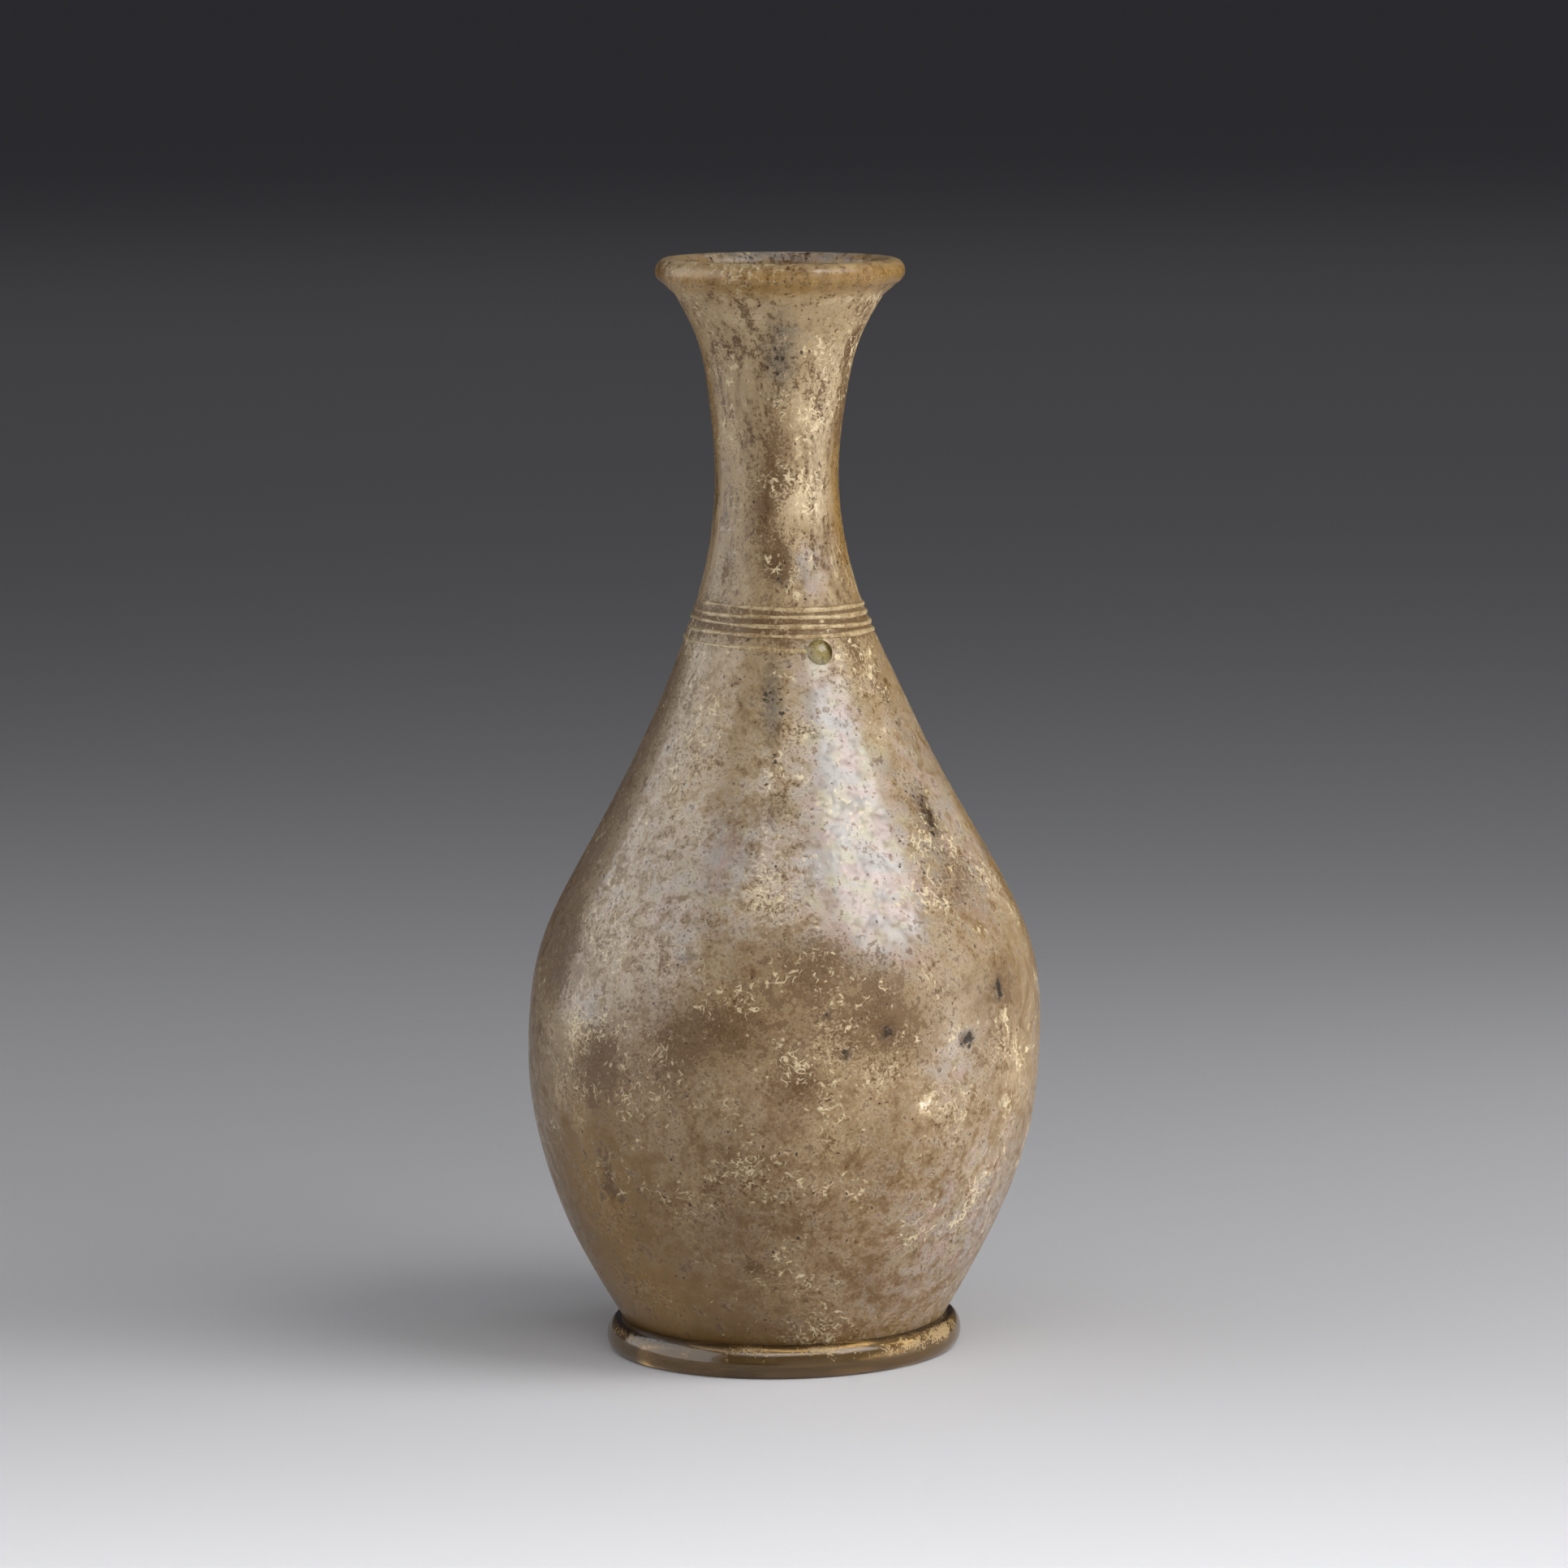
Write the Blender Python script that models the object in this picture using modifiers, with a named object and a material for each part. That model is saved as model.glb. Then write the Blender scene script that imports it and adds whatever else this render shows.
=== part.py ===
"""An ancient free-blown glass bottle with a pear-shaped body, a coil foot and a trail round its neck.

Metres, +Z up. The foot ring stands on z = 0 with its middle at the origin. The blown vessel stands a
little askew in the ring, so its outline is worked out along an axis of its own, which leans towards +X.
"""

import math

import bmesh
import bpy
import numpy as np
from mathutils import Matrix, Vector

# Foot ring, a coil of glass laid on by hand
FOOT_HEIGHT = 0.0069
FOOT_BAR_WIDTH = 0.0062
FOOT_WIDEST_HEIGHT = 0.0027
FOOT_CONTACT_WIDTH = 0.0022

# Vessel: outer radii, and how far each level stands above the one below, the foot's crest being the first
SEAT_RADIUS = 0.0340
BELLY_RISE = 0.0591
BELLY_RADIUS = 0.05395
WAIST_RISE = 0.1180
WAIST_RADIUS = 0.01285
RIM_RISE = 0.0460

# Rolled rim, on top of the flaring neck
RIM_RADIUS = 0.0260
RIM_THICKNESS = 0.0053
RIM_OVERHANG = 0.0043
RIM_THROAT = 0.0022

# Base, pushed up inside the foot ring, with the scar of the pontil rod
BASE_LIFT = 0.0020
HEEL_WIDTH = 0.0065
KICK_RISE = 0.0055
SCAR_RADIUS = 0.0066
SCAR_WIDTH = 0.0016
SCAR_DEPTH = 0.0006

# Glass thickness
BASE_WALL = 0.0030
BELLY_WALL = 0.0017
NECK_WALL = 0.0022

# How far the blown axis strays from a straight one, towards +X, and how far the whole vessel leans
SEAT_SWAY = -0.0003
SHOULDER_SWAY = 0.0006
NECK_SWAY = -0.0015
RIM_SWAY = -0.0008
LEAN = math.radians(0.85)

# Trail wound up round the base of the neck, from the round drop that it starts with
TRAIL_THICKNESS = 0.0008
TRAIL_BELOW_WAIST = 0.0344
TRAIL_START_ANGLE = math.radians(-67.0)
TRAIL_TURNS = 4.25
TRAIL_PITCH = 0.0018
TRAIL_FIRST_PITCH = 0.0033
DROP_WIDTH = 0.0055
DROP_STANDS_OUT = 0.0016

# Gap between glass that was fused on hot and the vessel
CLEARANCE = 0.0003

# Free forms of the blown glass. An outline between two levels is (share of the rise, share of the change
# in radius), the rim's roll is an arc in degrees, and the kick's rings are shares of its radius.
LOWER_BODY_SHAPE = ((0.32, 0.525), (0.62, 0.855), (0.85, 0.98))
SHOULDER_SHAPE = ((0.17, 0.055), (0.31, 0.238), (0.50, 0.538), (0.665, 0.757), (0.80, 0.908), (0.90, 0.974))
NECK_SHAPE = ((0.47, 0.175), (0.80, 0.53))
SHOULDER_SHARE = 0.22
RIM_ARC_START = -62
RIM_ARC_SWEEP = 255
KICK_RINGS = (0.75, 0.5)
TRAIL_SETTLING = 3.0

# Levels and radii that follow from the sizes above
BELLY_HEIGHT = FOOT_HEIGHT + BELLY_RISE
WAIST_HEIGHT = BELLY_HEIGHT + WAIST_RISE
RIM_HEIGHT = WAIST_HEIGHT + RIM_RISE
NECK_TOP_HEIGHT = RIM_HEIGHT - RIM_THICKNESS - RIM_THROAT
NECK_TOP_RADIUS = RIM_RADIUS - RIM_OVERHANG
BASE_RADIUS = SEAT_RADIUS - HEEL_WIDTH
TRAIL_START_HEIGHT = WAIST_HEIGHT - TRAIL_BELOW_WAIST

# Fineness of the facets
STEPS_AROUND = 40
STEPS_PER_KNOT = 2
RIM_STEPS = 8
HEEL_STEPS = 3
FOOT_STEPS = 4
TRAIL_STEPS_PER_TURN = 28
MERGE_DISTANCE = 0.00001


def curve_through(knots):
    """Return the smooth curve through (place, value) knots, as a function of the place."""
    place = np.array([knot[0] for knot in knots])
    value = np.array([knot[1] for knot in knots])
    gap = np.diff(place)
    slope = np.diff(value) / gap
    count = len(knots)
    bend_matrix = np.eye(count)
    bend_side = np.zeros(count)
    for i in range(1, count - 1):
        bend_matrix[i, i - 1:i + 2] = gap[i - 1], 2 * (gap[i - 1] + gap[i]), gap[i]
        bend_side[i] = 6 * (slope[i] - slope[i - 1])
    bend = np.linalg.solve(bend_matrix, bend_side)

    def value_at(where):
        i = int(np.clip(np.searchsorted(place, where) - 1, 0, count - 2))
        ahead = (where - place[i]) / gap[i]
        behind = 1 - ahead
        curved = (behind ** 3 - behind) * bend[i] + (ahead ** 3 - ahead) * bend[i + 1]
        return float(behind * value[i] + ahead * value[i + 1] + curved * gap[i] ** 2 / 6)

    return value_at


def outline_knots():
    """Return the (height, radius) knots of the vessel's outside, from the seat up to under the rim."""
    levels = (
        (FOOT_HEIGHT, SEAT_RADIUS, LOWER_BODY_SHAPE),
        (BELLY_HEIGHT, BELLY_RADIUS, SHOULDER_SHAPE),
        (WAIST_HEIGHT, WAIST_RADIUS, NECK_SHAPE),
        (NECK_TOP_HEIGHT, NECK_TOP_RADIUS, ()),
    )
    knots = []
    for (low, low_radius, shape), (high, high_radius, _) in zip(levels, levels[1:]):
        knots.append((low, low_radius))
        for rise, change in shape:
            knots.append((low + rise * (high - low), low_radius + change * (high_radius - low_radius)))
    knots.append(levels[-1][:2])
    return knots


KNOTS = outline_knots()
radius_at = curve_through(KNOTS)
sway_at = curve_through((
    (FOOT_HEIGHT, SEAT_SWAY),
    (BELLY_HEIGHT, 0.0),
    (BELLY_HEIGHT + SHOULDER_SHARE * WAIST_RISE, SHOULDER_SWAY),
    (WAIST_HEIGHT, NECK_SWAY),
    (RIM_HEIGHT, RIM_SWAY),
))
wall_at = curve_through((
    (FOOT_HEIGHT, BASE_WALL),
    (BELLY_HEIGHT, BELLY_WALL),
    (WAIST_HEIGHT, NECK_WALL),
    (RIM_HEIGHT, NECK_WALL),
))


def kick_height(radius):
    """Return the height of the pushed-up underside at a radius."""
    return BASE_LIFT + KICK_RISE * (1 + math.cos(math.pi * radius / BASE_RADIUS)) / 2


def wall_outline():
    """Return the (radius, height) points of the vessel's outside, from under the rim to the base's edge."""
    points = []
    for (low, _), (high, _) in zip(KNOTS, KNOTS[1:]):
        for step in range(STEPS_PER_KNOT):
            height = low + (high - low) * step / STEPS_PER_KNOT
            points.append((radius_at(height), height))
    points.append((NECK_TOP_RADIUS, NECK_TOP_HEIGHT))
    points.reverse()

    rise = (KNOTS[1][0] - FOOT_HEIGHT) / STEPS_PER_KNOT
    slope = (radius_at(FOOT_HEIGHT + rise) - SEAT_RADIUS) / rise
    corner = Vector((SEAT_RADIUS - slope * (FOOT_HEIGHT - BASE_LIFT), BASE_LIFT))
    seat = Vector((SEAT_RADIUS, FOOT_HEIGHT))
    base = Vector((BASE_RADIUS, BASE_LIFT))
    for step in range(1, HEEL_STEPS + 1):
        share = step / HEEL_STEPS
        points.append(tuple(seat.lerp(corner, share).lerp(corner.lerp(base, share), share)))
    return points


def underside(scar_depth):
    """Return the points of the pushed-up underside inside its edge, with the scar's ring standing out."""
    half = SCAR_WIDTH / 2
    rings = [(BASE_RADIUS * share, 0) for share in KICK_RINGS]
    rings += [(SCAR_RADIUS + half, 0), (SCAR_RADIUS + half / 2, scar_depth)]
    rings += [(SCAR_RADIUS - half / 2, scar_depth), (SCAR_RADIUS - half, 0), (0, 0)]
    return [(radius, kick_height(radius) - depth) for radius, depth in rings]


def moved_outline(points, distance_at):
    """Return an outline moved outwards along its own normals by distance_at(height), inwards if negative."""
    moved = []
    for i, (radius, height) in enumerate(points):
        before = Vector(points[max(i - 1, 0)])
        after = Vector(points[min(i + 1, len(points) - 1)])
        along = (after - before).normalized()
        outwards = Vector((-along.y, along.x))
        if radius == 0:
            outwards = Vector((0, -1))
        shifted = Vector((radius, height)) + outwards * distance_at(height)
        moved.append((shifted.x, shifted.y))
    return moved


def rim_arc():
    """Return the points of the rolled rim, from its underside round its top to its inner side."""
    roll = RIM_THICKNESS / 2
    points = []
    for step in range(RIM_STEPS + 1):
        angle = math.radians(RIM_ARC_START + RIM_ARC_SWEEP * step / RIM_STEPS)
        points.append((RIM_RADIUS - roll + roll * math.cos(angle), RIM_HEIGHT - roll + roll * math.sin(angle)))
    return points


def turned(name, profile):
    """Return a mesh turned round the Z axis from a profile that runs down its outer side."""
    mesh = bpy.data.meshes.new(name)
    edges = [(i, i + 1) for i in range(len(profile) - 1)]
    mesh.from_pydata([(radius, 0, height) for radius, height in profile], edges, [])
    guide = bpy.data.objects.new(name, mesh)
    bpy.context.scene.collection.objects.link(guide)
    screw = guide.modifiers.new("Turn", "SCREW")
    screw.steps = STEPS_AROUND
    screw.render_steps = STEPS_AROUND
    screw.use_merge_vertices = True
    screw.merge_threshold = MERGE_DISTANCE
    return baked(guide)


def baked(guide):
    """Return a guide object's evaluated shape as a welded mesh, and remove the guide."""
    mesh = bpy.data.meshes.new_from_object(guide.evaluated_get(bpy.context.evaluated_depsgraph_get()))
    shape = bmesh.new()
    shape.from_mesh(mesh)
    bmesh.ops.remove_doubles(shape, verts=shape.verts, dist=MERGE_DISTANCE)
    shape.to_mesh(mesh)
    shape.free()
    bpy.data.objects.remove(guide)
    return mesh


def on_blown_axis(point):
    """Return where a point of the upright vessel goes: along the strayed axis, then leant over."""
    upright = Vector((point[0] + sway_at(point[2]), point[1], point[2]))
    return Matrix.Rotation(LEAN, 3, "Y") @ upright


def blown(mesh):
    """Move an upright turned mesh on to the vessel's strayed and leaning axis."""
    for vertex in mesh.vertices:
        vertex.co = on_blown_axis(vertex.co)
    return mesh


def glass(name, colour, roughness):
    """Return a glass material with the given linear colour."""
    material = bpy.data.materials.new(name)
    material.use_nodes = True
    shader = material.node_tree.nodes["Principled BSDF"]
    shader.inputs["Base Color"].default_value = (*colour, 1.0)
    shader.inputs["Roughness"].default_value = roughness
    shader.inputs["Metallic"].default_value = 0.0
    material.diffuse_color = (*colour, 1.0)
    return material


def placed(name, mesh, material, collection):
    """Return a new object of a mesh, shaded smooth, in a collection."""
    piece = bpy.data.objects.new(name, mesh)
    collection.objects.link(piece)
    mesh.materials.clear()
    mesh.materials.append(material)
    mesh.shade_smooth()
    mesh.set_sharp_from_angle(angle=math.radians(50))
    return piece


def combine(piece, cutter, operation):
    """Apply an exact Boolean of a cutter to a piece's mesh."""
    boolean = piece.modifiers.new(operation.capitalize(), "BOOLEAN")
    boolean.solver = "EXACT"
    boolean.operation = operation
    boolean.object = cutter


def make_vessel(collection, material):
    """Blow the vessel: one wall of glass from the inside of the base over the rim to the underside."""
    wall = wall_outline()
    inside = moved_outline(wall + underside(0), lambda height: -wall_at(max(height, FOOT_HEIGHT)))
    profile = inside[::-1] + rim_arc()[::-1] + wall + underside(SCAR_DEPTH)
    return placed("vessel", blown(turned("vessel", profile)), material, collection)


def make_vessel_space(collection, material):
    """Return the vessel's outside grown by the clearance, which cuts what is fused on to it."""
    outside = moved_outline(wall_outline() + underside(0), lambda height: CLEARANCE)
    space = placed("vessel_space", blown(turned("vessel_space", [(0, NECK_TOP_HEIGHT)] + outside)),
                   material, collection)
    space.hide_render = True
    space.display_type = "WIRE"
    return space


def foot_side():
    """Return the (reach, height) points of one side of the foot's section, from its crest to the ground."""
    half = FOOT_BAR_WIDTH / 2
    flat = FOOT_CONTACT_WIDTH / 2
    points = []
    for step in range(FOOT_STEPS):
        angle = math.pi / 2 * (1 - step / FOOT_STEPS)
        crest = FOOT_HEIGHT - FOOT_WIDEST_HEIGHT
        points.append((half * math.cos(angle), FOOT_WIDEST_HEIGHT + crest * math.sin(angle)))
    for step in range(FOOT_STEPS + 1):
        angle = math.pi / 2 * step / FOOT_STEPS
        points.append((flat + (half - flat) * math.cos(angle), FOOT_WIDEST_HEIGHT * (1 - math.sin(angle))))
    return points


def make_foot_ring(collection, material, vessel_space):
    """Lay the foot: a coil with a flat worn underside, seated against the vessel."""
    middle = SEAT_RADIUS + CLEARANCE
    side = foot_side()
    outer = [(middle + reach, height) for reach, height in side]
    inner = [(middle - reach, height) for reach, height in side[:0:-1]]
    ring = placed("foot_ring", turned("foot_ring", outer + inner + outer[:1]), material, collection)
    combine(ring, vessel_space, "DIFFERENCE")
    return ring


def trail_path():
    """Return the middle line of the trail, climbing clockwise as seen from above."""
    stand_off = CLEARANCE + TRAIL_THICKNESS / 2 / math.cos(math.pi / TRAIL_STEPS_PER_TURN)
    points = []
    for step in range(round(TRAIL_TURNS * TRAIL_STEPS_PER_TURN) + 1):
        turn = step / TRAIL_STEPS_PER_TURN
        settled = 1 - math.exp(-TRAIL_SETTLING * turn)
        climb = TRAIL_PITCH * turn + (TRAIL_FIRST_PITCH - TRAIL_PITCH) * settled
        points.append(on_vessel(TRAIL_START_ANGLE - turn * math.tau, TRAIL_START_HEIGHT + climb, stand_off))
    return points


def on_vessel(angle, height, stand_off):
    """Return the point that stands off the vessel's outside at an angle and height."""
    slope = (radius_at(height + MERGE_DISTANCE) - radius_at(height)) / MERGE_DISTANCE
    outwards = Vector((1, -slope)).normalized()
    radius = radius_at(height) + stand_off * outwards.x
    return on_blown_axis((radius * math.cos(angle), radius * math.sin(angle), height + stand_off * outwards.y))


def make_neck_trail(collection, material, cutters, vessel_space):
    """Wind the trail round the neck and join it to the drop that it starts from."""
    path = trail_path()
    curve = bpy.data.curves.new("neck_thread", "CURVE")
    curve.dimensions = "3D"
    curve.bevel_depth = TRAIL_THICKNESS / 2
    curve.bevel_resolution = 1
    curve.use_fill_caps = True
    spline = curve.splines.new("POLY")
    spline.points.add(len(path) - 1)
    for point, place in zip(spline.points, path):
        point.co = (*place, 1.0)
    guide = bpy.data.objects.new("trail_line", curve)
    bpy.context.scene.collection.objects.link(guide)
    trail = placed("neck_thread", baked(guide), material, collection)

    surface = on_vessel(TRAIL_START_ANGLE, TRAIL_START_HEIGHT, CLEARANCE)
    outwards = (on_vessel(TRAIL_START_ANGLE, TRAIL_START_HEIGHT, DROP_WIDTH) - surface).normalized()
    shape = bmesh.new()
    bmesh.ops.create_uvsphere(shape, u_segments=14, v_segments=8, radius=DROP_WIDTH / 2)
    bmesh.ops.scale(shape, vec=(1, 1, 2 * DROP_STANDS_OUT / DROP_WIDTH), verts=shape.verts)
    bmesh.ops.rotate(shape, matrix=outwards.to_track_quat("Z", "Y").to_matrix(), verts=shape.verts)
    bmesh.ops.translate(shape, vec=surface, verts=shape.verts)
    mesh = bpy.data.meshes.new("drop")
    shape.to_mesh(mesh)
    shape.free()
    drop = placed("drop", mesh, material, cutters)
    drop.hide_render = True
    drop.display_type = "WIRE"
    combine(drop, vessel_space, "DIFFERENCE")
    combine(trail, drop, "UNION")
    return trail


def main():
    """Build the bottle."""
    for old in list(bpy.data.objects):
        bpy.data.objects.remove(old)
    bottle = bpy.data.collections.new("glass_bottle")
    cutters = bpy.data.collections.new("cutters")
    bpy.context.scene.collection.children.link(bottle)
    bpy.context.scene.collection.children.link(cutters)

    weathered = glass("weathered_glass", (0.262, 0.209, 0.144), 0.35)
    foot_glass = glass("foot_glass", (0.130, 0.091, 0.050), 0.15)
    trail_glass = glass("trail_glass", (0.290, 0.240, 0.130), 0.25)

    make_vessel(bottle, weathered)
    vessel_space = make_vessel_space(cutters, weathered)
    make_foot_ring(bottle, foot_glass, vessel_space)
    make_neck_trail(bottle, trail_glass, cutters, vessel_space)


main()
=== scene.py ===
"""Looks of an ancient free-blown glass bottle, built round its packed construction model.

The bottle is a blown vessel of smoky brown glass under a cream weathering film, a coil of clearer
brown glass as its foot, and a fine trail of glass wound round the base of its neck.
"""

import logging
import math
from collections.abc import Callable, Sequence
from dataclasses import dataclass
from enum import Enum
from functools import partial

import bpy
import numpy as np
from mathutils import Matrix, Vector


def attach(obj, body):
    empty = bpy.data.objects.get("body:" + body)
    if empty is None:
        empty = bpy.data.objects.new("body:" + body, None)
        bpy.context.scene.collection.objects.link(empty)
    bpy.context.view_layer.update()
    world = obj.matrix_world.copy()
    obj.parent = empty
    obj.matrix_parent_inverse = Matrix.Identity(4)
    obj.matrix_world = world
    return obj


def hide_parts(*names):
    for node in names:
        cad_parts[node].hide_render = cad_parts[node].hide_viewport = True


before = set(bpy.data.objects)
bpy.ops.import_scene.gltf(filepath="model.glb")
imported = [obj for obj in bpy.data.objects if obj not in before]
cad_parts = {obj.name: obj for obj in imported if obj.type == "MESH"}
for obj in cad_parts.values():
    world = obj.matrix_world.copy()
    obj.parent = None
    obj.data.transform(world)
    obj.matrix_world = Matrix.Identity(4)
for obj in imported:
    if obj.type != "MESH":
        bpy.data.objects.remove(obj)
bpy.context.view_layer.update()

logging.basicConfig(level=logging.INFO, format="%(message)s")
LOG = logging.getLogger("bottle")

MM = 0.001
MERGE_GAP = 0.002 * MM
# A patch of endless width goes all the way round
ALL_ROUND = math.inf
# How fast a patch fades from its middle, and the most that overlapping patches add up to
PATCH_FADE = 1.2
LAYER_MOST = 1.5
Point = tuple[float, float]
Wave = tuple[float, float, float, float]
Socket = bpy.types.NodeSocket
Parts = Sequence[tuple[Socket, float | Socket]]


class Weathering(Enum):
    """What a patch of the surface carries, and the mesh attribute that holds it."""

    # Besides weathering, the layers carry painted light: painted shade down the vessel's left side
    # and on the coil, a painted highlight and painted shade on the drop, and a painted highlight
    # and painted reflections among the sheen patches
    STAIN_AND_PAINTED_SHADE = "stain"
    CRUST_AND_PAINTED_HIGHLIGHT = "crust"
    BARE = "bare"
    SHEEN = "sheen"
    SOIL_AND_PAINTED_SHADE = "soil"


STAIN_AND_PAINTED_SHADE, CRUST_AND_PAINTED_HIGHLIGHT, BARE, SHEEN, SOIL_AND_PAINTED_SHADE = Weathering


@dataclass(frozen=True)
class Patch:
    """One patch of weathering on a piece.

    It lies some degrees round from the middle of the front, positive to the right, and its height,
    width (or ALL_ROUND) and tallness are in millimetres. Its strength is that of its middle.
    """

    kind: Weathering
    side: float
    height: float
    wide: float
    tall: float
    strength: float = 1.0


def patches_from(table: dict[Weathering, Sequence[tuple[float, ...]]]) -> tuple[Patch, ...]:
    """Make patches from a table of rows by kind.

    Args:
        table: rows of side, height, width, tallness and strength, by what they carry.

    Returns:
        The patches.
    """
    return tuple(Patch(kind, *row) for kind, rows in table.items() for row in rows)


def add_waves(waves: Sequence[Wave], around: np.ndarray | float,
              along: np.ndarray | float = 0.0) -> np.ndarray | float:
    """Add up sine waves, for what is slightly uneven in hand work.

    Args:
        waves: each wave's size, its rates around and along the piece, and its phase.
        around: the places around the piece.
        along: the places along it.

    Returns:
        The sum at each place.
    """
    return sum(size * np.sin(rate * around + climb * along + phase)
               for size, rate, climb, phase in waves)


def smooth_curve(knots: Sequence[Point]) -> Callable[[float], float]:
    """Make the smooth curve through some knots.

    Args:
        knots: (place, value) pairs in rising order of place.

    Returns:
        The curve as a function of the place.
    """
    place = np.array([knot[0] for knot in knots])
    value = np.array([knot[1] for knot in knots])
    gap = np.diff(place)
    slope = np.diff(value) / gap
    count = len(knots)
    matrix = np.eye(count)
    side = np.zeros(count)
    for i in range(1, count - 1):
        matrix[i, i - 1:i + 2] = gap[i - 1], 2 * (gap[i - 1] + gap[i]), gap[i]
        side[i] = 6 * (slope[i] - slope[i - 1])
    bend = np.linalg.solve(matrix, side)

    def value_at(where: float) -> float:
        """Read the curve at a place.

        Args:
            where: the place.

        Returns:
            The value there.
        """
        i = int(np.clip(np.searchsorted(place, where) - 1, 0, count - 2))
        ahead = (where - place[i]) / gap[i]
        behind = 1 - ahead
        curved = (behind ** 3 - behind) * bend[i] + (ahead ** 3 - ahead) * bend[i + 1]
        return float(behind * value[i] + ahead * value[i + 1] + curved * gap[i] ** 2 / 6)

    return value_at


@dataclass(frozen=True)
class BlownForm:
    """The blown vessel's form: its outline on its own axis, and how the axis strays and leans."""

    foot_height: float = 6.9 * MM
    seat_radius: float = 34.0 * MM
    belly_rise: float = 59.1 * MM
    belly_radius: float = 53.95 * MM
    waist_rise: float = 118.0 * MM
    waist_radius: float = 12.85 * MM
    rim_rise: float = 46.0 * MM
    rim_radius: float = 26.0 * MM
    rim_thickness: float = 5.3 * MM
    rim_overhang: float = 4.3 * MM
    rim_throat: float = 2.2 * MM
    rim_from: float = -62
    rim_turn: float = 255
    base_lift: float = 2.0 * MM
    heel_width: float = 6.5 * MM
    kick_rise: float = 5.5 * MM
    scar_radius: float = 6.6 * MM
    scar_width: float = 1.6 * MM
    scar_depth: float = 0.6 * MM
    base_wall: float = 3.0 * MM
    belly_wall: float = 1.7 * MM
    neck_wall: float = 2.2 * MM
    seat_sway: float = -0.3 * MM
    shoulder_sway: float = 0.6 * MM
    neck_sway: float = -1.5 * MM
    rim_sway: float = -0.8 * MM
    lean: float = math.radians(0.85)
    shoulder_share: float = 0.22
    axis_steps: int = 400
    heel_steps: int = 8
    lower_body: tuple[Point, ...] = ((0.32, 0.525), (0.62, 0.855), (0.85, 0.98))
    shoulder: tuple[Point, ...] = (
        (0.17, 0.055), (0.31, 0.238), (0.50, 0.538), (0.665, 0.757), (0.80, 0.908), (0.90, 0.974),
    )
    neck: tuple[Point, ...] = ((0.47, 0.175), (0.80, 0.53))

    @property
    def belly_height(self) -> float:
        """Height of the widest circle."""
        return self.foot_height + self.belly_rise

    @property
    def waist_height(self) -> float:
        """Height of the narrowest circle of the neck."""
        return self.belly_height + self.waist_rise

    @property
    def rim_height(self) -> float:
        """Height of the top of the rim."""
        return self.waist_height + self.rim_rise

    @property
    def neck_top(self) -> float:
        """Height where the flaring neck meets the rim's roll."""
        return self.rim_height - self.rim_thickness - self.rim_throat

    @property
    def base_radius(self) -> float:
        """Radius of the edge of the pushed-up underside."""
        return self.seat_radius - self.heel_width

    def knots(self) -> list[Point]:
        """List the knots of the outside, from the seat up to under the rim.

        Returns:
            The (height, radius) knots.
        """
        levels = (
            (self.foot_height, self.seat_radius, self.lower_body),
            (self.belly_height, self.belly_radius, self.shoulder),
            (self.waist_height, self.waist_radius, self.neck),
            (self.neck_top, self.rim_radius - self.rim_overhang, ()),
        )
        knots = []
        for (low, low_radius, shape), (high, high_radius, _) in zip(levels, levels[1:]):
            knots.append((low, low_radius))
            for rise, change in shape:
                radius = low_radius + change * (high_radius - low_radius)
                knots.append((low + rise * (high - low), radius))
        knots.append(levels[-1][:2])
        return knots

    def radius_curve(self) -> Callable[[float], float]:
        """Return the outer radius as a function of height."""
        return smooth_curve(self.knots())

    def wall_curve(self) -> Callable[[float], float]:
        """Return the thickness of the glass as a function of height."""
        return smooth_curve((
            (self.foot_height, self.base_wall), (self.belly_height, self.belly_wall),
            (self.waist_height, self.neck_wall), (self.rim_height, self.neck_wall)))

    def sway_curve(self) -> Callable[[float], float]:
        """Return how far the blown axis strays towards +X, as a function of height."""
        shoulder_height = self.belly_height + self.shoulder_share * self.waist_rise
        return smooth_curve((
            (self.foot_height, self.seat_sway), (self.belly_height, 0.0),
            (shoulder_height, self.shoulder_sway), (self.waist_height, self.neck_sway),
            (self.rim_height, self.rim_sway)))

    def on_axis(self, points: np.ndarray) -> np.ndarray:
        """Move points of the upright form on to the strayed and leaning axis.

        Args:
            points: an array of x, y, z rows.

        Returns:
            The moved points.
        """
        sway = self.sway_curve()
        heights = np.linspace(0, self.rim_height, self.axis_steps)
        moved = points.copy()
        moved[:, 0] += np.interp(points[:, 2], heights, [sway(height) for height in heights])
        turn = np.array(Matrix.Rotation(self.lean, 3, "Y"))
        return moved @ turn.T

    def kick(self, radius: float) -> float:
        """Return the height of the pushed-up underside at a radius."""
        lift = (1 + math.cos(math.pi * radius / self.base_radius)) / 2
        return self.base_lift + self.kick_rise * lift

    def outside(self, spacing: float) -> list[Point]:
        """Return the (radius, height) points of the outside, from under the rim to the base's edge.

        Args:
            spacing: how far apart the points stand in height.

        Returns:
            The points.
        """
        radius_at = self.radius_curve()
        count = round((self.neck_top - self.foot_height) / spacing)
        heights = np.linspace(self.neck_top, self.foot_height, count)
        points = [(radius_at(height), height) for height in heights]
        slope = (radius_at(self.foot_height + spacing) - self.seat_radius) / spacing
        seat = Vector((self.seat_radius, self.foot_height))
        corner_radius = self.seat_radius - slope * (self.foot_height - self.base_lift)
        corner = Vector((corner_radius, self.base_lift))
        edge = Vector((self.base_radius, self.base_lift))
        for step in range(1, self.heel_steps + 1):
            way = step / self.heel_steps
            points.append(tuple(seat.lerp(corner, way).lerp(corner.lerp(edge, way), way)))
        return points

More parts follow.
